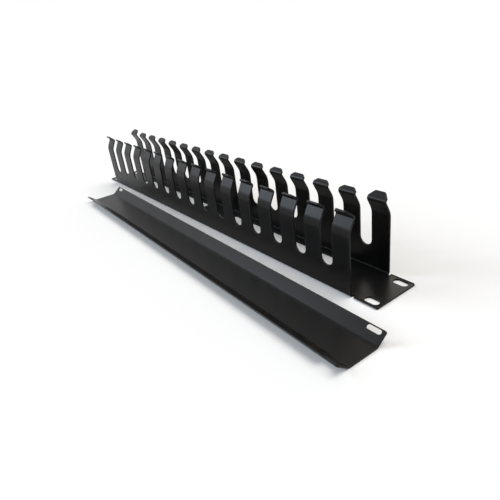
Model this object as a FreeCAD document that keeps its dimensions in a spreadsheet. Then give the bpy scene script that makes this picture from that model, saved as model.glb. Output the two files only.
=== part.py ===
import FreeCAD, Part
import math
import os

import Sketcher

# A one-unit horizontal cable manager for a 19-inch rack, and the cover that closes it.
# The base is one folded sheet: a back panel with a slotted ear at each end and two long
# windows for cables that go on to the rear, and two walls cut by U-shaped gaps into rows of
# fingers. Each finger stands straight, leans in, and ends in a lip that turns out again.
# The cover is a second folded sheet, a shallow channel whose flanges come down over the
# lips, with a slot over the tongue of each end finger. It lies beside the base, floor down,
# as it is set aside while cables are laid.
#
# Frame: X runs along the panel, Y across it, +Z away from the rack, in millimetres.
# The origin is the middle of the panel's mounting face, between the four rack slots.
# Both pieces are the same four times over, so each body is one quarter, mirrored twice.

DRIVING_SIZES = [
    ("panel_length", 482.6, "19-inch rack panel, end to end"),
    ("panel_height", 44.2, "one rack unit of 44.45 less the usual gap"),
    ("sheet", 1.5, "sheet thickness of the base"),
    ("bend", 1.0, "inner radius of every fold"),
    ("ear_corner", 2.0, "corner radius of the ears"),
    ("rack_span", 465.1, "rack slot centres across the rack"),
    ("rack_rise", 31.75, "rack slot centres up the rack"),
    ("rack_slot_length", 12.0, "end to end of a rack slot"),
    ("rack_slot_width", 6.5, "clears an M6 screw"),
    ("relief_width", 2.0, "notch between a wall's end and the ear"),
    ("relief_past", 0.5, "how far the notch runs past the fold"),
    ("finger_count", 16, "fingers in each wall, an even number"),
    ("finger_width", 16.5, "one finger along X"),
    ("finger_pitch", 28.0, "from one finger to the next"),
    ("gap_floor", 19.3, "lowest point of a gap above the mounting face"),
    ("fold_height", 50.1, "where a finger stops standing straight"),
    ("lean_angle", 28.0, "lean inwards from upright, degrees"),
    ("lean_length", 10.1, "flat stretch of the leaning part"),
    ("lip_angle", 46.0, "lip outwards from upright, degrees"),
    ("lip_length", 3.7, "flat stretch of the lip"),
    ("corner_run", 3.25, "corner cut of a lip, along X"),
    ("corner_rise", 1.9, "corner cut of a lip, up Z"),
    ("tongue_proud", 1.0, "end tongue past the outside of the fitted cover"),
    ("tongue_corner", 1.2, "corner cut of an end tongue"),
    ("window_start", 25.0, "a rear window's inner end, from mid length"),
    ("window_end", 181.0, "a rear window's outer end, from mid length"),
    ("window_height", 26.0, "a rear window across the panel"),
    ("window_corner", 4.0, "corner radius of a rear window"),
    ("cover_sheet", 1.2, "sheet thickness of the cover"),
    ("cover_overhang", 0.5, "cover past the last finger at each end"),
    ("flange_angle", 38.0, "cover flange up from its floor, degrees"),
    ("flange_length", 11.4, "flat stretch of a cover flange"),
    ("tongue_play", 0.9, "clearance each side of a tongue's thickness"),
    ("tongue_end_play", 0.75, "clearance at each end of a tongue's width"),
    ("slot_strip", 0.9, "metal between a cover slot and the flange's free edge"),
    ("cover_shift_x", 48.0, "where the cover is set down, along X"),
    ("cover_shift_y", -61.5, "where the cover is set down, across Y"),
    ("cover_turn", -0.9, "how far it is turned there, degrees"),
]


class Term:
    """A number and the sheet formula that gives it, kept together through arithmetic."""

    def __init__(self, value, text):
        self.value = value
        self.text = text

    def __add__(self, other):
        other = as_term(other)
        return Term(self.value + other.value, f"({self.text} + {other.text})")

    def __sub__(self, other):
        other = as_term(other)
        return Term(self.value - other.value, f"({self.text} - {other.text})")

    def __mul__(self, other):
        other = as_term(other)
        return Term(self.value * other.value, f"({self.text} * {other.text})")

    def __truediv__(self, other):
        other = as_term(other)
        return Term(self.value / other.value, f"({self.text} / {other.text})")

    def __neg__(self):
        return Term(-self.value, f"(0 - {self.text})")


def as_term(number):
    """Let a plain number stand in a formula."""
    if isinstance(number, Term):
        return number
    return Term(number, str(number))


def sine(angle):
    """Sine of a term in degrees."""
    return Term(math.sin(math.radians(angle.value)), f"sin({angle.text} * 1 deg)")


def cosine(angle):
    """Cosine of a term in degrees."""
    return Term(math.cos(math.radians(angle.value)), f"cos({angle.text} * 1 deg)")


def build_sheet(doc):
    """Write the driving sizes into the spreadsheet and give each back as a term."""
    sheet = doc.addObject("Spreadsheet::Sheet", "dims")
    terms = {}
    for row, (name, value, note) in enumerate(DRIVING_SIZES, start=1):
        sheet.set(f"A{row}", name)
        sheet.set(f"B{row}", str(value))
        sheet.setAlias(f"B{row}", name)
        sheet.set(f"C{row}", note)
        terms[name] = Term(value, f"dims.{name}")
    doc.recompute()
    return terms


# Sketch and feature helpers

ORIGIN = -1
START, END, CENTRE = 1, 2, 3


def origin_feature(body, role):
    """One of the body's own base planes or axes."""
    return next(item for item in body.Origin.OriginFeatures if item.Role == role)


def new_sketch(body, name, plane, raised=None, tipped=None):
    """A sketch on a base plane, raised along its normal or tipped about the X axis."""
    sketch = body.newObject("Sketcher::SketchObject", name)
    sketch.AttachmentSupport = [(origin_feature(body, plane), "")]
    sketch.MapMode = "FlatFace"
    if raised is not None:
        sketch.setExpression("AttachmentOffset.Base.z", raised.text)
    if tipped is not None:
        turned = FreeCAD.Rotation(FreeCAD.Vector(1, 0, 0), tipped.value)
        sketch.AttachmentOffset = FreeCAD.Placement(FreeCAD.Vector(0, 0, 0), turned)
        sketch.setExpression("AttachmentOffset.Rotation.Angle", f"{tipped.text} * 1 deg")
    return sketch


def bind(sketch, kind, references, term):
    """Add a dimension and tie it to its sheet formula."""
    value = math.radians(term.value) if kind == "Angle" else term.value
    index = sketch.addConstraint(Sketcher.Constraint(kind, *references, value))
    unit = " * 1 deg" if kind == "Angle" else " * 1 mm"
    sketch.setExpression(f"Constraints[{index}]", term.text + unit)


def relate(sketch, kind, *references):
    """Add a constraint that has no size."""
    sketch.addConstraint(Sketcher.Constraint(kind, *references))


def add_line(sketch, start, end):
    """Draw a line between two points given as plain numbers."""
    line = Part.LineSegment(FreeCAD.Vector(*start, 0), FreeCAD.Vector(*end, 0))
    return sketch.addGeometry(line, False)


def add_arc(sketch, centre, radius, first, last):
    """Draw an arc, anticlockwise from one angle to the other, in degrees."""
    circle = Part.Circle(FreeCAD.Vector(*centre, 0), FreeCAD.Vector(0, 0, 1), radius)
    arc = Part.ArcOfCircle(circle, math.radians(first), math.radians(last))
    return sketch.addGeometry(arc, False)


def place(sketch, line, point, corner, before=None):
    """Fix a point of a line; a side shared with the corner before it is kept square."""
    for axis, kind, square in ((0, "DistanceX", "Vertical"), (1, "DistanceY", "Horizontal")):
        if before is not None and before[axis].text == corner[axis].text:
            relate(sketch, square, line - 1)
        else:
            bind(sketch, kind, (line, point), corner[axis])


def draw_outline(sketch, corners):
    """Draw a closed outline of straight sides through corners given as pairs of terms."""
    corners = [(as_term(across), as_term(up)) for across, up in corners]
    points = [(across.value, up.value) for across, up in corners]
    lines = [add_line(sketch, point, points[(index + 1) % len(points)])
             for index, point in enumerate(points)]
    for index, line in enumerate(lines):
        relate(sketch, "Coincident", line, END, lines[(index + 1) % len(lines)], START)
    for index, line in enumerate(lines):
        place(sketch, line, START, corners[index], corners[index - 1] if index else None)


def draw_slot(sketch, centre, length, width):
    """Draw a slot with round ends that runs across the sketch."""
    across, up = centre[0].value, centre[1].value
    reach = (length.value - width.value) / 2
    radius = width.value / 2
    top = add_line(sketch, (across + reach, up + radius), (across - reach, up + radius))
    left = add_arc(sketch, (across - reach, up), radius, 90, 270)
    bottom = add_line(sketch, (across - reach, up - radius), (across + reach, up - radius))
    right = add_arc(sketch, (across + reach, up), radius, -90, 90)
    relate(sketch, "Tangent", top, END, left, START)
    relate(sketch, "Tangent", left, END, bottom, START)
    relate(sketch, "Tangent", bottom, END, right, START)
    relate(sketch, "Tangent", right, END, top, START)
    relate(sketch, "Horizontal", top)
    relate(sketch, "Equal", left, right)
    bind(sketch, "Radius", (left,), width / 2)
    bind(sketch, "DistanceX", (left, CENTRE), centre[0] - (length - width) / 2)
    bind(sketch, "DistanceX", (right, CENTRE), centre[0] + (length - width) / 2)
    bind(sketch, "DistanceY", (left, CENTRE), centre[1])


def draw_window(sketch, first, last, height, corner):
    """Draw a rectangle with round corners, its long middle line on the sketch's own axis."""
    left, right = first.value, last.value
    half, radius = height.value / 2, corner.value
    top = add_line(sketch, (right - radius, half), (left + radius, half))
    top_left = add_arc(sketch, (left + radius, half - radius), radius, 90, 180)
    side = add_line(sketch, (left, half - radius), (left, radius - half))
    low_left = add_arc(sketch, (left + radius, radius - half), radius, 180, 270)
    foot = add_line(sketch, (left + radius, -half), (right - radius, -half))
    low_right = add_arc(sketch, (right - radius, radius - half), radius, 270, 360)
    far_side = add_line(sketch, (right, radius - half), (right, half - radius))
    top_right = add_arc(sketch, (right - radius, half - radius), radius, 0, 90)
    loop = [top, top_left, side, low_left, foot, low_right, far_side, top_right]
    for index, piece in enumerate(loop):
        relate(sketch, "Tangent", piece, END, loop[(index + 1) % len(loop)], START)
    for flat in (top, foot):
        relate(sketch, "Horizontal", flat)
    for upright in (side, far_side):
        relate(sketch, "Vertical", upright)
    for arc in (low_left, low_right, top_right):
        relate(sketch, "Equal", top_left, arc)
    bind(sketch, "Radius", (top_left,), corner)
    bind(sketch, "DistanceX", (side, START), first)
    bind(sketch, "DistanceX", (far_side, START), last)
    bind(sketch, "DistanceY", (top, START), height / 2)
    bind(sketch, "DistanceY", (foot, START), -(height / 2))


def draw_folded_section(sketch, thickness, bend, flats, turns):
    """Draw the section of a folded sheet that starts flat at the sketch's origin.

    flats are the lengths of its flat stretches and turns the folds between them, in
    degrees, a turn to the left above zero. Both faces of a fold are arcs round one centre.
    """
    heading = 0.0
    point = (0.0, 0.0)
    under, over, folds = [], [], []
    for flat, turn in zip(flats, [*turns, None]):
        along = (math.cos(math.radians(heading)), math.sin(math.radians(heading)))
        left = (-along[1] * thickness.value, along[0] * thickness.value)
        end = (point[0] + along[0] * flat.value, point[1] + along[1] * flat.value)
        under.append(add_line(sketch, point, end))
        over.append(add_line(sketch, (point[0] + left[0], point[1] + left[1]),
                             (end[0] + left[0], end[1] + left[1])))
        if turn is None:
            break
        side = 1 if turn.value > 0 else -1
        radii = (bend + thickness, bend) if side > 0 else (bend, bend + thickness)
        centre = (end[0] - along[1] * side * radii[0].value,
                  end[1] + along[0] * side * radii[0].value)
        limits = sorted((heading - side * 90, heading - side * 90 + turn.value))
        folds.append((side, radii, [add_arc(sketch, centre, radius.value, *limits)
                                    for radius in radii]))
        heading += turn.value
        outward = math.radians(heading - side * 90)
        point = (centre[0] + radii[0].value * math.cos(outward),
                 centre[1] + radii[0].value * math.sin(outward))

    for index, (side, radii, arcs) in enumerate(folds):
        near, far = (START, END) if side > 0 else (END, START)
        for lines, arc, radius in zip((under, over), arcs, radii):
            relate(sketch, "Tangent", lines[index], END, arc, near)
            relate(sketch, "Tangent", arc, far, lines[index + 1], START)
            bind(sketch, "Radius", (arc,), radius)
        relate(sketch, "Coincident", arcs[0], CENTRE, arcs[1], CENTRE)

    inner_edge = add_line(sketch, (0, thickness.value), (0, 0))
    relate(sketch, "Coincident", over[0], START, inner_edge, START)
    relate(sketch, "Coincident", inner_edge, END, under[0], START)
    relate(sketch, "Coincident", under[0], START, ORIGIN, START)
    relate(sketch, "Vertical", inner_edge)
    tip = sketch.Geometry[under[-1]].EndPoint
    far_tip = sketch.Geometry[over[-1]].EndPoint
    outer_edge = add_line(sketch, (tip.x, tip.y), (far_tip.x, far_tip.y))
    relate(sketch, "Coincident", under[-1], END, outer_edge, START)
    relate(sketch, "Coincident", outer_edge, END, over[-1], END)
    relate(sketch, "Perpendicular", outer_edge, under[-1])

    relate(sketch, "Horizontal", under[0])
    relate(sketch, "Horizontal", over[0])
    relate(sketch, "Parallel", under[-1], over[-1])
    for line, flat in zip(under, flats):
        bind(sketch, "Distance", (line,), flat)
    total = as_term(0)
    for line, turn in zip(under[1:], turns):
        total = total + turn
        bind(sketch, "Angle", (line,), total)


def add_pad(body, name, sketch, length):
    """Pad a sketch along its normal."""
    pad = body.newObject("PartDesign::Pad", name)
    pad.Profile = sketch
    pad.setExpression("Length", f"{length.text} * 1 mm")
    return pad


def add_cut(body, name, sketch):
    """Cut a sketch right through, both ways."""
    cut = body.newObject("PartDesign::Pocket", name)
    cut.Profile = sketch
    cut.Type = "ThroughAll"
    cut.SideType = "Symmetric"
    return cut


def mirror_twice(body):
    """Mirror the finished quarter, already computed, across both its upright planes."""
    body.Document.recompute()
    quarters = body.newObject("PartDesign::MultiTransform", f"{body.Name}_quarters")
    quarters.TransformMode = "Whole shape"
    mirrors = []
    for name, plane in (("other_end", "YZ_Plane"), ("other_side", "XZ_Plane")):
        mirror = body.newObject("PartDesign::Mirrored", f"{body.Name}_{name}")
        mirror.MirrorPlane = (origin_feature(body, plane), [""])
        mirrors.append(mirror)
    quarters.Transformations = mirrors
    body.Tip = quarters


# The base: back panel, ears and finger walls in one folded sheet

def wall_end(d):
    """X of the last finger's outer side."""
    return (d["finger_pitch"] * (d["finger_count"] - 1) + d["finger_width"]) / 2


def end_finger_middle(d):
    """X of the middle of the last finger."""
    return wall_end(d) - d["finger_width"] / 2


def wall_flats(d, lip):
    """Flat stretches of half the base's section, from the middle of the panel to a lip."""
    fold = d["bend"] + d["sheet"]
    return [d["panel_height"] / 2 - fold, d["fold_height"] - fold, d["lean_length"], lip]


def wall_turns(d):
    """Folds of that section: the wall, its lean and the lip that turns back out."""
    return [as_term(90), d["lean_angle"], -(d["lean_angle"] + d["lip_angle"])]


def tongue_reach(d):
    """How far an end finger's lip runs past the others, through the fitted cover."""
    return d["cover_sheet"] + d["tongue_proud"]


def lip_top(d):
    """Z of the highest edge of a lip, up both its bends."""
    waist = d["fold_height"] + (d["bend"] + d["sheet"]) * sine(d["lean_angle"])
    waist = waist + d["lean_length"] * cosine(d["lean_angle"])
    start = waist + d["bend"] * (sine(d["lean_angle"]) + sine(d["lip_angle"]))
    return start + d["lip_length"] * cosine(d["lip_angle"]) + d["sheet"] * sine(d["lip_angle"])


def lip_middle(d):
    """Y of the middle of a lip's edge."""
    waist = d["panel_height"] / 2
    waist = waist - (d["bend"] + d["sheet"]) * (as_term(1) - cosine(d["lean_angle"]))
    waist = waist - d["lean_length"] * sine(d["lean_angle"])
    start = waist + d["bend"] * (cosine(d["lean_angle"]) - cosine(d["lip_angle"]))
    edge = start + d["lip_length"] * sine(d["lip_angle"])
    return edge - d["sheet"] * cosine(d["lip_angle"]) / 2


def add_walls(body, d):
    """Pad the folded section, with the longer lip of the end finger past the last gap."""
    last_gap = end_finger_middle(d) - d["finger_pitch"] / 2
    row = new_sketch(body, "row_section", "YZ_Plane")
    draw_folded_section(row, d["sheet"], d["bend"], wall_flats(d, d["lip_length"]), wall_turns(d))
    add_pad(body, "finger_row", row, last_gap)

    end = new_sketch(body, "end_section", "YZ_Plane", raised=last_gap)
    longer = d["lip_length"] + tongue_reach(d)
    draw_folded_section(end, d["sheet"], d["bend"], wall_flats(d, longer), wall_turns(d))
    add_pad(body, "end_finger", end, wall_end(d) - last_gap)


def add_ear(body, d):
    """Pad the ear flat on from the panel, with a notch where the wall's fold stops."""
    inner = wall_end(d)
    outer = d["panel_length"] / 2
    edge = d["panel_height"] / 2
    notch_side = inner + d["relief_width"]
    notch_foot = edge - d["bend"] - d["sheet"] - d["relief_past"]
    sketch = new_sketch(body, "ear_outline", "XY_Plane")
    draw_outline(sketch, [
        (inner, 0),
        (outer, 0),
        (outer, edge),
        (notch_side, edge),
        (notch_side, notch_foot),
        (inner, notch_foot),
    ])
    pad = add_pad(body, "ear", sketch, d["sheet"])
    return pad


def round_ear(body, ear, d):
    """Round the ear's free corner."""
    body.Document.recompute()
    far = d["panel_length"].value / 2
    side = d["panel_height"].value / 2
    corner = next(
        f"Edge{index}" for index, edge in enumerate(ear.Shape.Edges, start=1)
        if all(abs(v.X - far) < 0.01 and abs(v.Y - side) < 0.01 for v in edge.Vertexes)
    )
    fillet = body.newObject("PartDesign::Fillet", "ear_corner_round")
    fillet.Base = (ear, [corner])
    fillet.setExpression("Radius", d["ear_corner"].text)


def cut_rack_slot(body, d):
    """Cut the slot that a rack screw passes through."""
    sketch = new_sketch(body, "rack_slot_outline", "XY_Plane")
    centre = (d["rack_span"] / 2, d["rack_rise"] / 2)
    draw_slot(sketch, centre, d["rack_slot_length"], d["rack_slot_width"])
    add_cut(body, "rack_slot", sketch)


def cut_window(body, d):
    """Cut the window through the back panel, between its middle and its end."""
    sketch = new_sketch(body, "window_outline", "XY_Plane")
    draw_window(sketch, d["window_start"], d["window_end"], d["window_height"],
                d["window_corner"])
    add_cut(body, "window", sketch)


def cut_gaps(body, d):
    """Cut the gap at mid length, round below and flared between the lips, and repeat it."""
    half = (d["finger_pitch"] - d["finger_width"]) / 2
    belly = d["gap_floor"] + half
    mouth = lip_top(d) - d["corner_rise"]
    wide = half + d["corner_run"]
    top = lip_top(d)
    clear = top + d["finger_width"]
    corners = [(half, belly), (half, mouth), (wide, top), (wide, clear),
               (-wide, clear), (-wide, top), (-half, mouth), (-half, belly)]
    sketch = new_sketch(body, "gap_outline", "XZ_Plane")
    points = [(across.value, up.value) for across, up in corners]
    lines = [add_line(sketch, first, second) for first, second in zip(points, points[1:])]
    floor = add_arc(sketch, (0, belly.value), half.value, 180, 360)
    for first, second in zip(lines, lines[1:]):
        relate(sketch, "Coincident", first, END, second, START)
    relate(sketch, "Tangent", floor, END, lines[0], START)
    relate(sketch, "Tangent", lines[-1], END, floor, START)
    bind(sketch, "DistanceX", (lines[0], START), half)
    bind(sketch, "DistanceY", (lines[0], START), belly)
    for index in range(1, len(lines)):
        place(sketch, lines[index], START, corners[index], corners[index - 1])
    relate(sketch, "Vertical", lines[-1])
    gap = add_cut(body, "gap", sketch)

    row = body.newObject("PartDesign::LinearPattern", "gap_row")
    row.Originals = [gap]
    row.Direction = (origin_feature(body, "X_Axis"), [""])
    row.Mode = "Spacing"
    row.setExpression("Offset", f"{d['finger_pitch'].text} * 1 mm")
    row.setExpression("Occurrences", (d["finger_count"] / 2).text)
    body.Tip = row


def cut_tongue(body, d):
    """Trim the end finger's longer lip to a tongue on shoulders that the cover rests on."""
    inner = wall_end(d) - d["finger_width"]
    outer = wall_end(d)
    margin = (d["finger_pitch"] - d["finger_width"]) / 2
    neck = lip_top(d) - d["sheet"] * sine(d["lip_angle"])
    shoulder = neck - d["corner_rise"]
    tip = lip_top(d) + tongue_reach(d) * cosine(d["lip_angle"])
    left = inner + d["corner_run"]
    right = outer - d["corner_run"]
    cut = d["tongue_corner"]
    above = tip + margin
    sketch = new_sketch(body, "tongue_outline", "XZ_Plane")
    draw_outline(sketch, [
        (inner - margin, shoulder),
        (inner, shoulder),
        (left, neck),
        (left, tip - cut),
        (left + cut, tip),
        (right - cut, tip),
        (right, tip - cut),
        (right, neck),
        (outer, shoulder),
        (outer + margin, shoulder),
        (outer + margin, above),
        (inner - margin, above),
    ])
    add_cut(body, "tongue", sketch)


def build_base(doc, d):
    """The folded base, a quarter at a time."""
    body = doc.addObject("PartDesign::Body", "base_panel")
    body.Label = "base_panel"
    add_walls(body, d)
    round_ear(body, add_ear(body, d), d)
    cut_rack_slot(body, d)
    cut_window(body, d)
    cut_gaps(body, d)
    cut_tongue(body, d)
    mirror_twice(body)
    return body


# The cover: a shallow channel, drawn as it lies, flanges up

def cover_floor(d):
    """Half the flat of the floor, so that the flanges' slots meet the end tongues."""
    slot_edge = d["sheet"] / 2 + d["tongue_play"] + d["slot_strip"]
    free_edge = lip_middle(d) + slot_edge * cosine(d["flange_angle"])
    outer_edge = free_edge + d["cover_sheet"] * sine(d["flange_angle"])
    fold = (d["bend"] + d["cover_sheet"]) * sine(d["flange_angle"])
    return outer_edge - fold - d["flange_length"] * cosine(d["flange_angle"])


def cut_cover_slot(body, d):
    """Cut the slot for an end tongue, square to the flange."""
    tip_width = d["finger_width"] - d["corner_run"] * 2
    width = d["sheet"] + d["tongue_play"] * 2
    length = tip_width + d["tongue_end_play"] * 2
    along = cover_floor(d) * cosine(d["flange_angle"])
    along = along + (d["bend"] + d["cover_sheet"]) * sine(d["flange_angle"]) + d["flange_length"]
    along = along - d["slot_strip"] - width / 2
    sketch = new_sketch(body, "cover_slot_outline", "XY_Plane", tipped=d["flange_angle"])
    draw_slot(sketch, (end_finger_middle(d), along), length, width)
    add_cut(body, "cover_slot", sketch)


def build_cover(doc, d):
    """The cover, set down beside the base."""
    body = doc.addObject("PartDesign::Body", "cover")
    body.Label = "cover"
    section = new_sketch(body, "cover_section", "YZ_Plane")
    flats = [cover_floor(d), d["flange_length"]]
    draw_folded_section(section, d["cover_sheet"], d["bend"], flats, [d["flange_angle"]])
    add_pad(body, "cover_channel", section, wall_end(d) + d["cover_overhang"])
    cut_cover_slot(body, d)
    mirror_twice(body)
    body.setExpression("Placement.Base.x", d["cover_shift_x"].text)
    body.setExpression("Placement.Base.y", d["cover_shift_y"].text)
    body.setExpression("Placement.Rotation.Angle", f"{d['cover_turn'].text} * 1 deg")
    return body


def check_document(doc):
    """Stop if any feature failed or a sub-part has no sound solid."""
    for item in doc.Objects:
        if "Invalid" in item.State or "Error" in item.State:
            raise RuntimeError(f"{item.Name} is {item.State}")
        if item.isDerivedFrom("Sketcher::SketchObject") and not item.FullyConstrained:
            raise RuntimeError(f"{item.Name} is not fully constrained")
        if item.isDerivedFrom("PartDesign::Body"):
            if item.Shape.isNull() or not item.Shape.isValid() or len(item.Shape.Solids) != 1:
                raise RuntimeError(f"{item.Label} is not one sound solid")


def main():
    doc = FreeCAD.newDocument("cable_manager")
    driving = build_sheet(doc)
    bodies = [build_base(doc, driving), build_cover(doc, driving)]
    doc.recompute()
    check_document(doc)
    os.makedirs("parts", exist_ok=True)
    for body in bodies:
        body.Shape.exportStep(f"parts/{body.Label}.step")


main()
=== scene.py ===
"""One-unit horizontal cable manager for a 19-inch rack, with its lift-off cover set down beside it.

Both pieces are single sheets of steel, punched flat, folded, and powder coated satin black.
Each is worked out as a quarter of its flat sheet: grids of points (x, s), with x along the
panel and s the length measured up the sheet from its middle line, carried through the folds
by one function, then mirrored into the other three quarters. All lengths are in metres.
"""

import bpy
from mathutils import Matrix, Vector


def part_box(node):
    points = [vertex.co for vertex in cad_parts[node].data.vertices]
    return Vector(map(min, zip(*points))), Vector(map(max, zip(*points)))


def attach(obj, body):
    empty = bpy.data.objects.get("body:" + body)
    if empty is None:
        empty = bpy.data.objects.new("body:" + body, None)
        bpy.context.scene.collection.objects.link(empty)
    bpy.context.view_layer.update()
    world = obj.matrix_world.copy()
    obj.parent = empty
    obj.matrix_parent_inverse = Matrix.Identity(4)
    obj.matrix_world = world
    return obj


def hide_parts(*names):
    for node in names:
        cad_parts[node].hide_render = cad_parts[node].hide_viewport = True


bl_info = {
    "name": "Cable manager pieces",
    "version": (1, 0, 0),
    "blender": (4, 5, 0),
    "location": "3D View > Sidebar > Cable manager",
    "description": "Folded, powder coated sheets of a rack cable manager, worked out from their sizes",
    "category": "Add Mesh",
}

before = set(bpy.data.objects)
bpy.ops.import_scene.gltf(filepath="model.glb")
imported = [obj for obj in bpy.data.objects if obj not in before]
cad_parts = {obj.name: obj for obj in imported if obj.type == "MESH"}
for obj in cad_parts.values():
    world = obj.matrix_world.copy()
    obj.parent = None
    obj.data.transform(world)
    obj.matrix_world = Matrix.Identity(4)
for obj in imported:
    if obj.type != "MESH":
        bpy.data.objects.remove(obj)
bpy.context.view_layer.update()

import math

import bpy
import numpy as np
from bpy.props import (
    FloatProperty,
    FloatVectorProperty,
    IntProperty,
    PointerProperty,
)
from mathutils import Matrix, Vector

MM = 0.001
PANEL_LOW, PANEL_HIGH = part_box("base_panel")
COVER_LOW, COVER_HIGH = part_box("cover")


def linear(hex_colour):
    """Turn an sRGB hex colour into linear red, green and blue."""
    parts = [int(hex_colour[i:i + 2], 16) / 255 for i in (1, 3, 5)]
    return tuple(c / 12.92 if c <= 0.04045 else ((c + 0.055) / 1.055) ** 2.4 for c in parts)


def length(name, description, default):
    """A length that a user can change."""
    return FloatProperty(name=name, description=description, default=default,
                         min=0.0, subtype="DISTANCE", unit="LENGTH")


def angle(name, description, degrees):
    """An angle that a user can change."""
    return FloatProperty(name=name, description=description, default=math.radians(degrees),
                         subtype="ANGLE", unit="ROTATION")


def colour(name, description, hex_colour):
    """A colour that a user can change."""
    return FloatVectorProperty(name=name, description=description, default=linear(hex_colour),
                               size=3, min=0.0, max=1.0, subtype="COLOR")


class BasePanelSizes(bpy.types.PropertyGroup):
    """Sizes of the folded base."""

    panel_length: length("Panel length", "End to end over the ears", PANEL_HIGH.x - PANEL_LOW.x)
    panel_height: length("Panel height", "Across the panel", PANEL_HIGH.y - PANEL_LOW.y)
    sheet: length("Sheet", "Thickness of the coated sheet", 1.5 * MM)
    bend: length("Bend", "Inner radius of a fold", 1.0 * MM)
    edge_round: length("Edge round", "Radius of the coated edges", 0.28 * MM)
    ear_corner: length("Ear corner", "Radius of an ear's corners", 2.0 * MM)
    slot_span: length("Slot span", "Rack slot centres along the panel", 465.1 * MM)
    slot_rise: length("Slot rise", "Rack slot centres across the panel", 31.75 * MM)
    slot_length: length("Slot length", "Rack slot, end to end", 12.0 * MM)
    slot_width: length("Slot width", "Rack slot, side to side", 6.5 * MM)
    notch_width: length("Notch width", "Between a wall's end and the ear", 2.0 * MM)
    notch_past: length("Notch past fold", "How far the notch runs past the fold", 0.5 * MM)
    notch_corner: length("Notch corner", "Radius in the notch's corners", 0.4 * MM)
    fingers: IntProperty(name="Fingers", description="Fingers in each wall, an even number",
                         default=16, min=4)
    finger_width: length("Finger width", "One finger along the panel", 16.5 * MM)
    finger_pitch: length("Finger pitch", "From one finger to the next", 28.0 * MM)
    gap_floor: length("Gap floor", "Lowest point of a gap above the rack", 19.3 * MM)
    fold_height: length("Fold height", "Where a finger stops standing straight", 50.1 * MM)
    lean: angle("Lean", "Lean inwards from upright", 28.0)
    lean_bend: length("Lean bend", "Softer radius of the fold where a finger leans", 14.0 * MM)
    lean_length: length("Lean length", "Flat stretch of the leaning part", 10.1 * MM)
    lip: angle("Lip", "Lip outwards from upright", 46.0)
    lip_length: length("Lip length", "Flat stretch of the lip", 3.7 * MM)
    corner_run: length("Corner run", "Corner cut of a lip, along its edge", 3.25 * MM)
    corner_rise: length("Corner rise", "Corner cut of a lip, up its side", 2.74 * MM)
    corner_round: length("Corner round", "Radius that blends a lip's corner cut", 1.8 * MM)
    tongue_reach: length("Tongue reach", "End tongue past the other lips", 2.2 * MM)
    tongue_width: length("Tongue width", "An end tongue across its tip", 8.8 * MM)
    tongue_rise: length("Tongue rise", "Corner cut of an end tongue, up its side", 4.6 * MM)
    tongue_round: length("Tongue round", "Radius of an end tongue's corners", 1.8 * MM)
    window_start: length("Window start", "A window's inner end, from mid length", 25.0 * MM)
    window_end: length("Window end", "A window's outer end, from mid length", 181.0 * MM)
    window_height: length("Window height", "A window across the panel", 26.0 * MM)
    window_corner: length("Window corner", "Corner radius of a window", 4.0 * MM)


class CoverSizes(bpy.types.PropertyGroup):
    """Sizes and resting place of the cover."""

    sheet: length("Sheet", "Thickness of the coated sheet", 1.2 * MM)
    bend: length("Bend", "Inner radius that the flats are measured to", 1.0 * MM)
    soft_bend: length("Soft bend", "Softer radius that the folds are drawn with", 4.0 * MM)
    edge_round: length("Edge round", "Radius of the coated edges", 0.3 * MM)
    half_length: length("Half length", "Middle to end", 218.75 * MM)
    half_width: length("Half width", "Middle line to a flange's outer edge", 22.14 * MM)
    flange: length("Flange", "Flat stretch of a flange", 11.4 * MM)
    flange_angle: angle("Flange angle", "How far a flange is folded up", 38.0)
    corner: length("Corner", "Radius of a flange's corners", 1.4 * MM)
    slot_middle: length("Slot middle", "Slot centre along the cover", 210.0 * MM)
    slot_length: length("Slot length", "Slot for an end tongue, end to end", 11.5 * MM)
    slot_width: length("Slot width", "Slot for an end tongue, side to side", 3.3 * MM)
    slot_strip: length("Slot strip", "Metal between the slot and the free edge", 0.9 * MM)
    turn: angle("Turn", "How far it is turned where it lies", -0.9)


class CoatFinish(bpy.types.PropertyGroup):
    """Colours of the powder coat."""

    body: colour("Coat", "Main colour of the coat", "#090909")
    haze: colour("Haze", "Faint cloudiness where the film is thinner", "#100f0e")
    edge: colour("Edge", "Rubbed coat along the cut edges", "#1a1918")
    roughness: FloatProperty(name="Roughness", description="Middle roughness of the satin coat",
                             default=0.32, min=0.05, max=1.0, subtype="FACTOR")
    sheen: FloatProperty(name="Sheen", description="Strength of the resin film's reflection",
                         default=0.16, min=0.0, max=1.0, subtype="FACTOR")
    grain: length("Grain", "Size of the powder's fine grain", 0.9 * MM)
    peel: length("Orange peel", "Length of the coat's slow ripple", 3.0 * MM)


class StudioSettings(bpy.types.PropertyGroup):
    """Floor, light and camera."""

    floor: colour("Floor", "Colour of the pale floor", "#f2f2f2")
    sky: FloatProperty(name="Sky", description="Soft light from all around",
                       default=0.35, min=0.0)
    key: FloatProperty(name="Key", description="Soft light from above, a little behind",
                       default=1.75, min=0.0)
    back: FloatProperty(name="Back", description="Warm soft light from behind, low down",
                        default=0.28, min=0.0)
    front: FloatProperty(name="Front", description="Cool soft light from the front left",
                         default=1.6, min=0.0)
    lens: FloatProperty(name="Lens", description="Focal length of the camera, in millimetres",
                        default=32.9, min=1.0, subtype="DISTANCE_CAMERA")


# Flat sheets: runs of edge and grids of face

# Steps along each kind of curve and across each kind of face
ARC_STEPS = 10
CORNER_STEPS = 6
BLEND_STEPS = 5
SMALL_ARC_STEPS = 4
FOLD_STEPS = 8
EDGE_STEPS = 4
FOOT_STEPS = 3
FINGER_COLUMNS = 6
COVER_COLUMNS = 12
# How near two corners of the mesh must lie to become one
MERGE_WITHIN = 0.002 * MM


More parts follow.
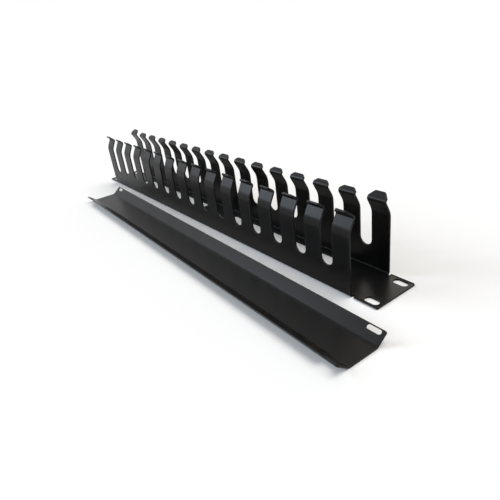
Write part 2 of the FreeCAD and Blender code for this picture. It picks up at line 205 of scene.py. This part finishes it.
def arc(centre, radius, first, last, hollow, steps=ARC_STEPS):
    """A round stretch of edge: centre plus radius times (cos a, sin a), a from first to last.

    The metal lies inside a full corner and outside a hollow one, so the direction into the
    metal is the same (cos a, sin a), with its sign turned for a full corner.
    """
    a = np.linspace(math.radians(first), math.radians(last), steps + 1)
    out = np.stack([np.cos(a), np.sin(a)], axis=1)
    return np.asarray(centre) + radius * out, out if hollow else -out


def straight(points, inward):
    """A straight stretch of edge through given points, with one direction into the metal."""
    points = np.asarray(points, float).reshape(-1, 2)
    return points, np.broadcast_to(np.asarray(inward, float), points.shape)


def join(*stretches):
    """Stretches of edge end to end, as one run."""
    return tuple(np.concatenate(parts) for parts in zip(*stretches))


def inset(run, distance):
    """The run moved into the metal by a distance."""
    return run[0] + run[1] * distance


def slot_halves(middle, height, length, width):
    """Upper and lower half of a slot's edge, each from its left end to its right end."""
    radius, reach = width / 2, (length - width) / 2
    left, right = (middle - reach, height), (middle + reach, height)
    upper = join(arc(left, radius, 180, 90, True), arc(right, radius, 90, 0, True))
    lower = join(arc(left, radius, 180, 270, True), arc(right, radius, 270, 360, True))
    return upper, lower


def flipped(run, about):
    """The run mirrored across the line x = about."""
    points, inward = run
    return (np.stack([2 * about - points[:, 0], points[:, 1]], axis=1),
            inward * np.array([-1.0, 1.0]))


def blended_corner(start, corner, end, radius, steps=BLEND_STEPS):
    """A corner between two sides, rounded by an arc that both sides touch.

    The arc touches each side radius times the tangent of half the turn from the corner, and
    turns through the angle between the sides. The run keeps the metal on its right, so a
    turn to the right is a full corner and a turn to the left a hollow one.
    """
    start, corner, end = (np.asarray(p, float) for p in (start, corner, end))
    into = (corner - start) / np.linalg.norm(corner - start)
    away = (end - corner) / np.linalg.norm(end - corner)
    side = np.sign(into[0] * away[1] - into[1] * away[0])
    normals = [side * np.array([-d[1], d[0]]) for d in (into, away)]
    half = math.acos(np.clip(into @ away, -1, 1)) / 2
    touch = corner - into * radius * math.tan(half)
    centre = touch + normals[0] * radius
    turn = side * np.linspace(0, 2 * half, steps + 1)
    spin = np.stack([np.cos(turn), np.sin(turn)], axis=1)
    first = -normals[0]
    out = np.stack([first[0] * spin[:, 0] - first[1] * spin[:, 1],
                    first[0] * spin[:, 1] + first[1] * spin[:, 0]], axis=1)
    return centre + radius * out, side * out


class FlatSheet:
    """A quarter of a punched sheet, as grids of places (x, s, t) with t through its thickness."""

    def __init__(self, sheet, edge_round):
        self.sheet = sheet
        self.edge_round = edge_round
        self.places, self.normals, self.rubbed, self.quads = [], [], [], []
        self.count = 0

    def add(self, places, normals, rubbed):
        """Keep one grid, joined into quads row by row and column by column."""
        rows, columns = places.shape[:2]
        index = self.count + np.arange(rows * columns).reshape(rows, columns)
        self.quads.append(np.stack([index[:-1, :-1], index[:-1, 1:], index[1:, 1:],
                                    index[1:, :-1]], axis=-1).reshape(-1, 4))
        self.places.append(places.reshape(-1, 3))
        self.normals.append(normals.reshape(-1, 3))
        self.rubbed.append(np.full(rows * columns, rubbed))
        self.count += rows * columns

    def face(self, grid):
        """Both faces over a grid of (x, s)."""
        for t, up in ((0.0, -1.0), (self.sheet, 1.0)):
            places = np.concatenate([grid, np.full(grid.shape[:2] + (1,), t)], axis=-1)
            normals = np.broadcast_to(np.array([0.0, 0.0, up]), places.shape)
            self.add(places, normals, 0.0)

    def rim(self, run):
        """The rounded edge: its profile, two quarter rounds and the cut between them,
        carried along the run."""
        points, inward = run
        r = self.edge_round
        a = np.linspace(0, math.pi / 2, EDGE_STEPS + 1)
        depth = np.concatenate([r - r * np.sin(a), (r - r * np.sin(a))[::-1]])
        height = np.concatenate([self.sheet - r + r * np.cos(a), (r - r * np.cos(a))[::-1]])
        outward = np.concatenate([np.sin(a), np.sin(a)[::-1]])
        upward = np.concatenate([np.cos(a), -np.cos(a)[::-1]])
        flat = points[:, None] + inward[:, None] * depth[None, :, None]
        sides = -inward[:, None] * outward[None, :, None]
        shape = flat.shape[:2] + (1,)
        places = np.concatenate([flat, np.broadcast_to(height[None, :, None], shape)], axis=-1)
        normals = np.concatenate([sides, np.broadcast_to(upward[None, :, None], shape)], axis=-1)
        self.add(places, normals, 1.0)


def between(low, high, shares):
    """A grid between two curves with the same number of points: low plus a share of the
    way to high, one row for each share."""
    return low[None] + (high - low)[None] * np.asarray(shares)[:, None, None]


def fold_stops(stretches):
    """Lengths up the sheet at which a point is wanted, close together in the folds."""
    stops, start = [0.0], 0.0
    for flat, _, turn in stretches:
        steps = FOLD_STEPS if turn else 1
        stops.extend(start + flat * (np.arange(steps) + 1) / steps)
        start += flat
    return np.array(stops)


def fold_stretch(radius, turn):
    """A fold as a stretch: the arc's length on the underside, its radius and its turn."""
    return (radius * abs(turn), radius, turn)


def eased(bend, softer, turn):
    """What a softer fold takes off each flat beside it: the difference between the radii
    times the tangent of half the turn, which leaves the flats' own planes where they are."""
    return (softer - bend) * math.tan(abs(turn) / 2)


def folded(places, normals, stretches):
    """Carry the flat sheet through its folds.

    The underside's line is built up stretch by stretch from the middle line: a flat
    stretch adds its length along the heading h, a fold of radius r adds
    r (sin(h + a) - sin h, cos h - cos(h + a)), with a the angle reached. A place sits t
    off that line, square to the heading it has there.
    """
    s, t = places[:, 1], places[:, 2]
    line = np.zeros((len(s), 2))
    heading = np.zeros(len(s))
    start, base = 0.0, 0.0
    for flat, radius, turn in stretches:
        run = np.clip(s - start, 0.0, flat)
        if turn:
            reached = turn * run / flat
            side = math.copysign(radius, turn)
            line[:, 0] += side * (np.sin(base + reached) - math.sin(base))
            line[:, 1] += side * (math.cos(base) - np.cos(base + reached))
            heading += reached
            base += turn
        else:
            line += run[:, None] * np.array([math.cos(base), math.sin(base)])
        start += flat
    along = np.stack([np.cos(heading), np.sin(heading)], axis=1)
    square = np.stack([-along[:, 1], along[:, 0]], axis=1)
    section = line + square * t[:, None]
    facing = along * normals[:, 1:2] + square * normals[:, 2:3]
    return (np.column_stack([places[:, 0], section]), np.column_stack([normals[:, 0], facing]))


def build_piece(name, quarter, stretches, place=None):
    """Fold a quarter, mirror it twice, merge what meets and make the mesh."""
    flat = np.concatenate(quarter.places)
    points, normals = folded(flat, np.concatenate(quarter.normals), stretches)
    quads = np.concatenate(quarter.quads)
    rubbed = np.concatenate(quarter.rubbed)
    signs = [np.array([x, y, 1.0]) for x in (1, -1) for y in (1, -1)]
    quads = np.concatenate([quads + i * len(points) for i in range(4)])
    points = np.concatenate([points * sign for sign in signs])
    normals = np.concatenate([normals * sign for sign in signs])
    rubbed = np.tile(rubbed, 4)

    _, kept, joined = np.unique(np.round(points / MERGE_WITHIN).astype(np.int64), axis=0,
                                return_index=True, return_inverse=True)
    joined = joined.reshape(-1)
    summed = np.zeros((len(kept), 3))
    np.add.at(summed, joined, normals)
    near_edge = np.zeros(len(kept))
    np.maximum.at(near_edge, joined, rubbed)
    points, quads = points[kept], joined[quads]
    normals = summed / np.linalg.norm(summed, axis=1, keepdims=True)

    corners = points[quads]
    facing = np.cross(corners[:, 2] - corners[:, 0], corners[:, 3] - corners[:, 1])
    wanted = normals[quads].sum(axis=1)
    turned = (facing * wanted).sum(axis=1) < 0
    quads[turned] = quads[turned][:, ::-1]

    if place is not None:
        turn = np.array(place.to_3x3())
        points = points @ turn.T + np.array(place.translation)
        normals = normals @ turn.T

    mesh = bpy.data.meshes.new(name)
    mesh.from_pydata(points, [], quads.tolist())
    mesh.validate()
    rub = mesh.attributes.new("rubbed", "FLOAT", "POINT")
    rub.data.foreach_set("value", near_edge.astype(np.float32))
    mesh.normals_split_custom_set_from_vertices(normals)
    piece = bpy.data.objects.new(name, mesh)
    bpy.context.scene.collection.objects.link(piece)
    return piece


# The base

def base_stretches(d):
    """Flat stretches and folds of the base from its middle line to the longest lip."""
    outer = d.bend + d.sheet
    less = eased(d.bend, d.lean_bend, d.lean)
    return [
        (d.panel_height / 2 - outer, 0.0, 0.0),
        fold_stretch(outer, math.pi / 2),
        (d.fold_height - outer - less, 0.0, 0.0),
        fold_stretch(d.lean_bend + d.sheet, d.lean),
        (d.lean_length - less, 0.0, 0.0),
        fold_stretch(d.bend, -(d.lean + d.lip)),
        (d.lip_length + d.tongue_reach, 0.0, 0.0),
    ]


def lip_side(d, tip, has_tongue):
    """Left side of a lip, from below its corner cut to the flat of its tip, middle at x = 0."""
    half = d.finger_width / 2
    if has_tongue:
        cheek = (-half, tip - d.tongue_rise)
        crown = (-d.tongue_width / 2, tip)
        radius = d.tongue_round
    else:
        cheek = (-half, tip - d.corner_rise)
        crown = (d.corner_run - half, tip)
        radius = d.corner_round
    return join(
        blended_corner((-half, 0), cheek, crown, radius),
        blended_corner(cheek, crown, (0, tip), radius),
    )


def add_finger(sheet, d, stops, middle, low, is_end):
    """One finger, from the panel's edge to its tip, with half of the gap on each side.

    Every row runs from one side to the other: x is the left side plus a share of the
    width there, s is the height of the row on the inset edge.
    """
    half, pitch = d.finger_width / 2, d.finger_pitch
    radius = (pitch - d.finger_width) / 2
    flat_top = d.panel_height / 2 - d.bend - d.sheet
    upright = flat_top + (d.bend + d.sheet) * math.pi / 2 - (d.bend + d.sheet)
    belly = upright + d.gap_floor + radius
    tip = stops[-1] - (0.0 if is_end else d.tongue_reach)
    lip = lip_side(d, tip, is_end)
    first_cut = lip[0][0, 1]
    inner = stops[(stops > belly) & (stops < first_cut)]
    gap = arc((-pitch / 2, belly), radius, -90, 0, True)
    side = join(gap, straight([(-half, s) for s in inner], (1, 0)), lip)
    bottom = belly - radius - sheet.edge_round
    below = np.concatenate([[low], stops[(stops > low) & (stops < bottom)],
                            np.linspace(stops[stops < bottom][-1], bottom,
                                        FOOT_STEPS + 1)[1:-1]])

    left = inset(side, sheet.edge_round)
    right = flipped(side, 0.0)
    if is_end:
        rows = left[:, 1]
        plain = rows < first_cut
        ends = np.stack([np.full(plain.sum(), half), rows[plain]], axis=1)
        right = join(straight(ends, (-1, 0)), (right[0][~plain], right[1][~plain]))
        foot = np.stack([np.full(len(below), half), below], axis=1)
        wall_end = straight(foot, (-1, 0))
        foot_right = inset(wall_end, sheet.edge_round)
        sheet.rim((join(wall_end, right)[0] + [middle, 0], join(wall_end, right)[1]))
    else:
        foot_right = np.stack([np.full(len(below), pitch / 2), below], axis=1)
        sheet.rim((right[0] + [middle, 0], right[1]))
    sheet.rim((side[0] + [middle, 0], side[1]))
    foot_left = np.stack([np.full(len(below), -pitch / 2), below], axis=1)
    lefts = np.concatenate([foot_left, left])
    rights = np.concatenate([foot_right, inset(right, sheet.edge_round)])
    shares = cell_shares(d, sheet.edge_round, middle, foot_right[0, 0] - foot_left[0, 0])
    sheet.face(between(lefts, rights, shares) + [middle, 0])
    top = between(side[0][-1:], right[0][-1:], shares)[:, 0]
    sheet.rim((top + [middle, 0], np.broadcast_to(np.array([0.0, -1.0]), top.shape)))
    return between(foot_left[:1], foot_right[:1], shares)[:, 0, 0] + middle


def window_columns(d, r):
    """Places along the panel where a window's round corners need a point.

    A corner's inset edge is an arc of the corner's radius and the edge round together, so
    its points lie that radius times cos a past the arc's centre.
    """
    reach = (d.window_corner + r) * np.cos(np.linspace(0, math.pi / 2, ARC_STEPS + 1))
    return np.concatenate([d.window_start + d.window_corner - reach,
                           d.window_end - d.window_corner + reach])


def cell_shares(d, r, middle, width):
    """Columns of a finger's cell as shares of its width, with those that a window needs."""
    wanted = (window_columns(d, r) - middle + d.finger_pitch / 2) / width
    inside = wanted[(wanted > 0) & (wanted < 1)]
    even = np.linspace(0, 1, FINGER_COLUMNS + 1)
    return np.unique(np.concatenate([even, inside]))


def window_edge(d, columns, r):
    """Long edge of a window whose inset stands at the given columns.

    The way into the metal is (c, sqrt(1 - c * c)), where c is a column's distance past the
    nearer corner's centre over the inset radius, and nought between the corners.
    """
    radius = d.window_corner + r
    c = np.clip((columns - d.window_start - d.window_corner) / radius, -1, 0)
    c = c + np.clip((columns - d.window_end + d.window_corner) / radius, 0, 1)
    inward = np.stack([c, np.sqrt(1 - c * c)], axis=1)
    centre_s = d.window_height / 2 - d.window_corner
    points = np.stack([columns - radius * c, np.full_like(c, centre_s)], axis=1)
    return points + d.window_corner * inward, inward


def rows_over(columns, levels):
    """A grid that stands at the same columns at every level."""
    return np.stack(np.meshgrid(columns, levels), axis=-1)


# How far a column may stand from a window's end and still count as at it
COLUMN_SLACK = 0.01 * MM
EAR_INNER_CORNER = 0.6 * MM


def add_base_floor(sheet, d, columns, low):
    """The back panel round its window, the neck beside the notch, and the ear."""
    r = sheet.edge_round
    slot_s = d.slot_rise / 2
    corner_s = d.window_height / 2 - d.window_corner
    levels = np.array([0.0, corner_s, slot_s, low])
    before_window = columns[columns < d.window_start - r + COLUMN_SLACK]
    past_window = columns[columns > d.window_end + r - COLUMN_SLACK]
    window = columns[(columns > d.window_start - r - COLUMN_SLACK)
                     & (columns < d.window_end + r + COLUMN_SLACK)]
    edge_run = window_edge(d, window, r)
    strip = np.stack([window, np.full_like(window, slot_s)], axis=1)
    sheet.face(rows_over(before_window, levels))
    sheet.face(between(inset(edge_run, r), strip, [0, 1]))
    sheet.face(rows_over(window, levels[2:]))
    sheet.face(rows_over(past_window, levels))
    sheet.rim(edge_run)
    for x, inward in ((d.window_start, -1), (d.window_end, 1)):
        sheet.rim(straight([(x, 0), (x, corner_s)], (inward, 0)))

    wall_end = columns[-1] + r
    foot = low - d.notch_corner
    ear_side = wall_end + d.notch_width
    c = d.notch_corner
    notch = join(
        arc((wall_end + c, foot + c), c, 180, 270, True, SMALL_ARC_STEPS),
        arc((ear_side - c, foot + c), c, 270, 360, True, SMALL_ARC_STEPS),
    )
    sheet.rim(notch)
    neck_top = inset(notch, r)
    neck_low = neck_top * [1, 0]
    sheet.face(between(neck_low, neck_top, levels / low))

    edge, far = d.panel_height / 2, d.panel_length / 2
    free = EAR_INNER_CORNER
    upper_slot, lower_slot = slot_halves(d.slot_span / 2, slot_s, d.slot_length, d.slot_width)
    sheet.rim(upper_slot)
    sheet.rim(lower_slot)
    first = arc((ear_side + free, edge - free), free, 180, 90, False, SMALL_ARC_STEPS)
    last = arc((far - d.ear_corner, edge - d.ear_corner), d.ear_corner, 90, 0, False,
               CORNER_STEPS)
    slot_x = inset(upper_slot, r)[:, 0]
    above = straight(np.stack([slot_x, np.full_like(slot_x, edge)], axis=1), (0, -1))
    top = join(first, above, last)
    sheet.rim(top)
    high = inset(top, r)
    before, after = inset(first, r)[:, 0], inset(last, r)[:, 0]
    line = [np.stack([x, np.full_like(x, slot_s)], axis=1) for x in (before, after)]
    over = np.concatenate([line[0], inset(upper_slot, r), line[1]])
    under = np.concatenate([line[0], inset(lower_slot, r), line[1]])
    share = (low - slot_s) / (high[0, 1] - slot_s)
    outer = between(over, high, [0, share, 1])
    inner = between(under * [1, 0], under, levels[:3] / slot_s)
    sheet.face(outer)
    sheet.face(inner)
    sheet.rim(straight([(ear_side, low), (ear_side, high[0, 1])], (1, 0)))
    ends = np.concatenate([inner[:, -1], outer[1:, -1]])
    sheet.rim(straight(np.stack([np.full(len(ends), far), ends[:, 1]], axis=1), (-1, 0)))


class CABLE_OT_base(bpy.types.Operator):
    """Build the base: back panel, ears and two rows of fingers, folded from one sheet"""

    bl_idname = "cable.base"
    bl_label = "Build base"

    def execute(self, context):
        d = context.scene.base_panel_sizes
        stretches = base_stretches(d)
        stops = fold_stops(stretches)
        sheet = FlatSheet(d.sheet, d.edge_round)
        low = stops[1] - d.notch_past + d.notch_corner
        columns = [np.zeros(1)]
        for k in range(d.fingers // 2):
            middle = (k + 0.5) * d.finger_pitch
            row = add_finger(sheet, d, stops, middle, low, k == d.fingers // 2 - 1)
            columns.append(row[1:])
        add_base_floor(sheet, d, np.concatenate(columns), low)
        piece = build_piece("coated_base", sheet, stretches)
        piece.data.materials.append(satin_black_powder_coat(context.scene.coat_finish))
        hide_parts("base_panel")
        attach(piece, "base")
        return {"FINISHED"}


# The cover

def cover_stretches(d):
    """Flat floor, fold and flange of the cover, from its middle line to a free edge."""
    outer = d.bend + d.sheet
    floor = d.half_width - outer * math.sin(d.flange_angle) - d.flange * math.cos(d.flange_angle)
    less = eased(d.bend, d.soft_bend, d.flange_angle)
    return [
        (floor - less, 0.0, 0.0),
        fold_stretch(d.soft_bend + d.sheet, d.flange_angle),
        (d.flange - less, 0.0, 0.0),
    ]


# From a slot's inner end to the last of the evenly spaced columns
SLOT_MARGIN = 1.5 * MM


def add_cover_quarter(sheet, d, stretches):
    """A quarter of the channel: rows up the sheet to the flange, then the strips below and
    above the slot, each a grid between two curves."""
    r = sheet.edge_round
    stops = fold_stops(stretches)
    edge = stops[-1]
    slot_s = edge - d.slot_strip - d.slot_width / 2
    upper_slot, lower_slot = slot_halves(d.slot_middle, slot_s, d.slot_length, d.slot_width)
    sheet.rim(upper_slot)
    sheet.rim(lower_slot)
    corner = arc((d.half_length - d.corner, edge - d.corner), d.corner, 90, 0, False,
                 CORNER_STEPS)
    slot_x = inset(upper_slot, r)[:, 0]
    plain = np.linspace(0, d.slot_middle - d.slot_length / 2 - SLOT_MARGIN, COVER_COLUMNS)
    above = np.concatenate([plain, slot_x])
    top = join(straight(np.stack([above, np.full_like(above, edge)], axis=1), (0, -1)), corner)
    sheet.rim(top)
    high = inset(top, r)
    columns = high[:, 0]
    line = [np.stack([x, np.full_like(x, slot_s)], axis=1)
            for x in (plain, columns[len(above):])]
    over = np.concatenate([line[0], inset(upper_slot, r), line[1]])
    under = np.concatenate([line[0], inset(lower_slot, r), line[1]])
    rows = stops[:-1]
    level = np.stack([columns, np.full_like(columns, rows[-1])], axis=1)
    ground = rows_over(columns, rows)
    lower = between(level, under, [0, 0.5, 1])
    upper = between(over, high, [0, 1])
    for grid in (ground, lower, upper):
        sheet.face(grid)
    ends = np.concatenate([ground[:, -1], lower[1:, -1], upper[1:, -1]])
    sheet.rim(straight(np.stack([np.full(len(ends), d.half_length), ends[:, 1]], axis=1),
                       (-1, 0)))


class CABLE_OT_cover(bpy.types.Operator):
    """Build the cover: a shallow channel that lies beside the base, floor down"""

    bl_idname = "cable.cover"
    bl_label = "Build cover"

    def execute(self, context):
        d = context.scene.cover_sizes
        stretches = cover_stretches(d)
        sheet = FlatSheet(d.sheet, d.edge_round)
        add_cover_quarter(sheet, d, stretches)
        middle = (COVER_LOW + COVER_HIGH) / 2
        place = Matrix.Translation((middle.x, middle.y, COVER_LOW.z))
        place = place @ Matrix.Rotation(d.turn, 4, "Z")
        piece = build_piece("coated_cover", sheet, stretches, place)
        piece.data.materials.append(satin_black_powder_coat(context.scene.coat_finish))
        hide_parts("cover")
        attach(piece, "cover")
        return {"FINISHED"}


# Materials

POLYESTER_IOR = 1.5
CLOUD_SIZE = 45 * MM
SCUFF_SIZE = 7 * MM
# How far the roughness goes below and above its middle value
GLOSSIER, DULLER = 0.04, 0.05
PEEL_SHARE, PEEL_HEIGHT = 0.35, 0.03 * MM
GRAIN_SHARE, GRAIN_HEIGHT = 0.5, 0.02 * MM


def node(tree, kind, settings=None, links=None, **inputs):
    """Add one node, set its settings and inputs, and link its inputs by name."""
    made = tree.nodes.new(kind)
    for key, value in (settings or {}).items():
        setattr(made, key, value)
    for key, value in inputs.items():
        made.inputs[key.replace("_", " ")].default_value = value
    for key, socket in (links or {}).items():
        tree.links.new(socket, made.inputs[key])
    return made


def satin_black_powder_coat(finish):
    """Satin black polyester powder coat, sprayed dry and baked on folded steel.

    To the eye it is near black, with a soft broad sheen, a fine grain under a slow orange
    peel, a faint haze where the film is thinner, and a greyer line where cut edges are
    rubbed in handling.
    """
    name = "satin_black_powder_coat"
    if name in bpy.data.materials:
        return bpy.data.materials[name]
    made = bpy.data.materials.new(name)
    made.use_nodes = True
    tree = made.node_tree
    tree.nodes.clear()
    place = node(tree, "ShaderNodeTexCoord").outputs["Object"]
    rubbed = node(tree, "ShaderNodeAttribute", {"attribute_name": "rubbed"}).outputs["Fac"]

    cloud = node(tree, "ShaderNodeTexNoise", {}, {"Vector": place},
                 Scale=1 / CLOUD_SIZE, Detail=3.0, Roughness=0.55)
    grain = node(tree, "ShaderNodeTexNoise", {}, {"Vector": place},
                 Scale=1 / finish.grain, Detail=2.0, Roughness=0.6)
    peel = node(tree, "ShaderNodeTexNoise", {}, {"Vector": place},
                Scale=1 / finish.peel, Detail=1.0, Roughness=0.4)
    scuff = node(tree, "ShaderNodeTexNoise", {}, {"Vector": place},
                 Scale=1 / SCUFF_SIZE, Detail=4.0, Roughness=0.7)

    haze = node(tree, "ShaderNodeMapRange", {}, {"Value": cloud.outputs["Fac"]},
                From_Min=0.40, From_Max=0.66)
    speck = node(tree, "ShaderNodeMapRange", {}, {"Value": grain.outputs["Fac"]},
                 From_Min=0.52, From_Max=0.70, To_Max=0.35)
    shade = node(tree, "ShaderNodeMath", {"operation": "ADD", "use_clamp": True},
                 {0: haze.outputs["Result"], 1: speck.outputs["Result"]})
    coat = node(tree, "ShaderNodeMix", {"data_type": "RGBA"}, {0: shade.outputs[0]})
    coat.inputs[6].default_value = (*finish.body, 1)
    coat.inputs[7].default_value = (*finish.haze, 1)
    worn = node(tree, "ShaderNodeMapRange", {}, {"Value": scuff.outputs["Fac"]},
                From_Min=0.38, From_Max=0.62, To_Min=0.25)
    rub = node(tree, "ShaderNodeMath", {"operation": "MULTIPLY"},
               {0: worn.outputs["Result"], 1: rubbed})
    colours = node(tree, "ShaderNodeMix", {"data_type": "RGBA"},
                   {0: rub.outputs[0], 6: coat.outputs[2]})
    colours.inputs[7].default_value = (*finish.edge, 1)

    gloss = node(tree, "ShaderNodeMapRange", {}, {"Value": cloud.outputs["Fac"]},
                 From_Min=0.3, From_Max=0.7,
                 To_Min=finish.roughness - GLOSSIER, To_Max=finish.roughness + DULLER)
    ripple = node(tree, "ShaderNodeBump", {}, {"Height": peel.outputs["Fac"]},
                  Strength=PEEL_SHARE, Distance=PEEL_HEIGHT)
    relief = node(tree, "ShaderNodeBump", {},
                  {"Height": grain.outputs["Fac"], "Normal": ripple.outputs["Normal"]},
                  Strength=GRAIN_SHARE, Distance=GRAIN_HEIGHT)
    shader = node(tree, "ShaderNodeBsdfPrincipled", {},
                  {"Base Color": colours.outputs[2], "Roughness": gloss.outputs["Result"],
                   "Normal": relief.outputs["Normal"]},
                  Metallic=0.0, IOR=POLYESTER_IOR, Specular_IOR_Level=finish.sheen)
    node(tree, "ShaderNodeOutputMaterial", {}, {"Surface": shader.outputs["BSDF"]})
    return made


# Stage

# Light that the board adds for the camera alone
FLOOR_LIFT = 0.05
FLOOR_HALF = 40.0
FLOOR_DROP = 0.05 * MM
SKY_TINT = "#fffefc"
# Each light: its name, its spread in degrees, the way it travels and its tint
LIGHTS = (
    ("key", 50.0, (-0.20, -0.35, -1.0), "#fffcf8"),
    ("back", 26.0, (0.48, -0.80, -0.45), "#fff0dc"),
    ("front", 28.0, (0.63, 0.56, -0.44), "#e6f2ff"),
)
CAMERA_PLACE = (0.4080, -0.2277, 0.1883)
CAMERA_AIM = (0.1332, -0.0457, 0.0200)
CAMERA_ROLL = 7.88


def seen_directly(tree):
    """One where a ray comes from the camera, a gloss or a clear body, otherwise nought."""
    path = node(tree, "ShaderNodeLightPath")
    either = node(tree, "ShaderNodeMath", {"operation": "MAXIMUM"},
                  {0: path.outputs["Is Camera Ray"], 1: path.outputs["Is Glossy Ray"]})
    return node(tree, "ShaderNodeMath", {"operation": "MAXIMUM"},
                {0: either.outputs[0], 1: path.outputs["Is Transmission Ray"]}).outputs[0]


def floor_board(studio):
    """Pale matt board: no sheen, lifted towards white where the camera sees it."""
    made = bpy.data.materials.new("pale_matt_board")
    made.use_nodes = True
    tree = made.node_tree
    tree.nodes.clear()
    matt = node(tree, "ShaderNodeBsdfDiffuse", Color=(*studio.floor, 1))
    lift = node(tree, "ShaderNodeEmission", Color=(1, 1, 1, 1), Strength=FLOOR_LIFT)
    both = node(tree, "ShaderNodeAddShader", {},
                {0: matt.outputs["BSDF"], 1: lift.outputs["Emission"]})
    path = node(tree, "ShaderNodeLightPath")
    mixed = node(tree, "ShaderNodeMixShader", {},
                 {0: path.outputs["Is Camera Ray"], 1: matt.outputs["BSDF"], 2: both.outputs[0]})
    node(tree, "ShaderNodeOutputMaterial", {}, {"Surface": mixed.outputs[0]})
    return made


def add_floor(studio):
    """A square board just under the object."""
    corners = FLOOR_HALF * np.array([[-1, -1, 0], [1, -1, 0], [1, 1, 0], [-1, 1, 0]], float)
    corners[:, 2] = -FLOOR_DROP
    mesh = bpy.data.meshes.new("floor")
    mesh.from_pydata(corners.tolist(), [], [(0, 1, 2, 3)])
    mesh.materials.append(floor_board(studio))
    board = bpy.data.objects.new("floor", mesh)
    bpy.context.scene.collection.objects.link(board)


def add_sky(studio):
    """White all around, at the studio's level where it only lights."""
    world = bpy.data.worlds.new("studio_sky")
    bpy.context.scene.world = world
    world.use_nodes = True
    tree = world.node_tree
    tree.nodes.clear()
    soft = node(tree, "ShaderNodeBackground", Color=(*linear(SKY_TINT), 1), Strength=studio.sky)
    white = node(tree, "ShaderNodeBackground", Color=(1, 1, 1, 1), Strength=1.0)
    mixed = node(tree, "ShaderNodeMixShader", {},
                 {0: seen_directly(tree), 1: soft.outputs[0], 2: white.outputs[0]})
    node(tree, "ShaderNodeOutputWorld", {}, {"Surface": mixed.outputs[0]})


def add_sun(name, strength, spread, travel, tint):
    """A broad soft light that shines the same way over the whole floor."""
    lamp = bpy.data.lights.new(name, "SUN")
    lamp.energy = strength
    lamp.angle = math.radians(spread)
    lamp.color = linear(tint)
    shown = bpy.data.objects.new(name, lamp)
    shown.rotation_mode = "QUATERNION"
    shown.rotation_quaternion = Vector(travel).to_track_quat("-Z", "Y")
    bpy.context.scene.collection.objects.link(shown)


def add_camera(studio):
    """Camera above the front right corner, looking along the rows."""
    lens = bpy.data.cameras.new("camera")
    lens.lens = studio.lens
    lens.sensor_width = 36.0
    lens.clip_start, lens.clip_end = 0.01, 200.0
    place, aim = Vector(CAMERA_PLACE), Vector(CAMERA_AIM)
    look = (aim - place).to_track_quat("-Z", "Y").to_matrix().to_4x4()
    tilt = Matrix.Rotation(-math.radians(CAMERA_ROLL), 4, "Z")
    camera = bpy.data.objects.new("camera", lens)
    camera.matrix_world = Matrix.Translation(place) @ look @ tilt
    bpy.context.scene.collection.objects.link(camera)
    bpy.context.scene.camera = camera


class CABLE_OT_stage(bpy.types.Operator):
    """Set up the pale floor, the soft light and the camera"""

    bl_idname = "cable.stage"
    bl_label = "Set up stage"

    def execute(self, context):
        studio = context.scene.studio_settings
        context.scene.view_settings.view_transform = "Standard"
        add_floor(studio)
        add_sky(studio)
        for name, spread, travel, tint in LIGHTS:
            add_sun(name, getattr(studio, name), spread, travel, tint)
        add_camera(studio)
        return {"FINISHED"}


class CABLE_PT_pieces(bpy.types.Panel):
    """Lists the pieces, their sizes and their finish"""

    bl_idname = "CABLE_PT_pieces"
    bl_label = "Cable manager"
    bl_space_type = "VIEW_3D"
    bl_region_type = "UI"
    bl_category = "Cable manager"

    def draw(self, context):
        layout = self.layout
        for operator, groups in PIECES:
            box = layout.box()
            box.operator(operator)
            for group in groups:
                settings = getattr(context.scene, group)
                for key in settings.bl_rna.properties.keys():
                    if key not in {"rna_type", "name"}:
                        box.prop(settings, key)


PIECES = (
    (CABLE_OT_base.bl_idname, ("base_panel_sizes", "coat_finish")),
    (CABLE_OT_cover.bl_idname, ("cover_sizes",)),
    (CABLE_OT_stage.bl_idname, ("studio_settings",)),
)
GROUPS = {
    "base_panel_sizes": BasePanelSizes,
    "cover_sizes": CoverSizes,
    "coat_finish": CoatFinish,
    "studio_settings": StudioSettings,
}
CLASSES = (*GROUPS.values(), CABLE_OT_base, CABLE_OT_cover, CABLE_OT_stage, CABLE_PT_pieces)


def register():
    for item in CLASSES:
        bpy.utils.register_class(item)
    for name, group in GROUPS.items():
        setattr(bpy.types.Scene, name, PointerProperty(type=group))


def unregister():
    for name in GROUPS:
        delattr(bpy.types.Scene, name)
    for item in reversed(CLASSES):
        bpy.utils.unregister_class(item)


def main():
    register()
    bpy.ops.cable.base()
    bpy.ops.cable.cover()
    bpy.ops.cable.stage()


if __name__ == "__main__":
    main()
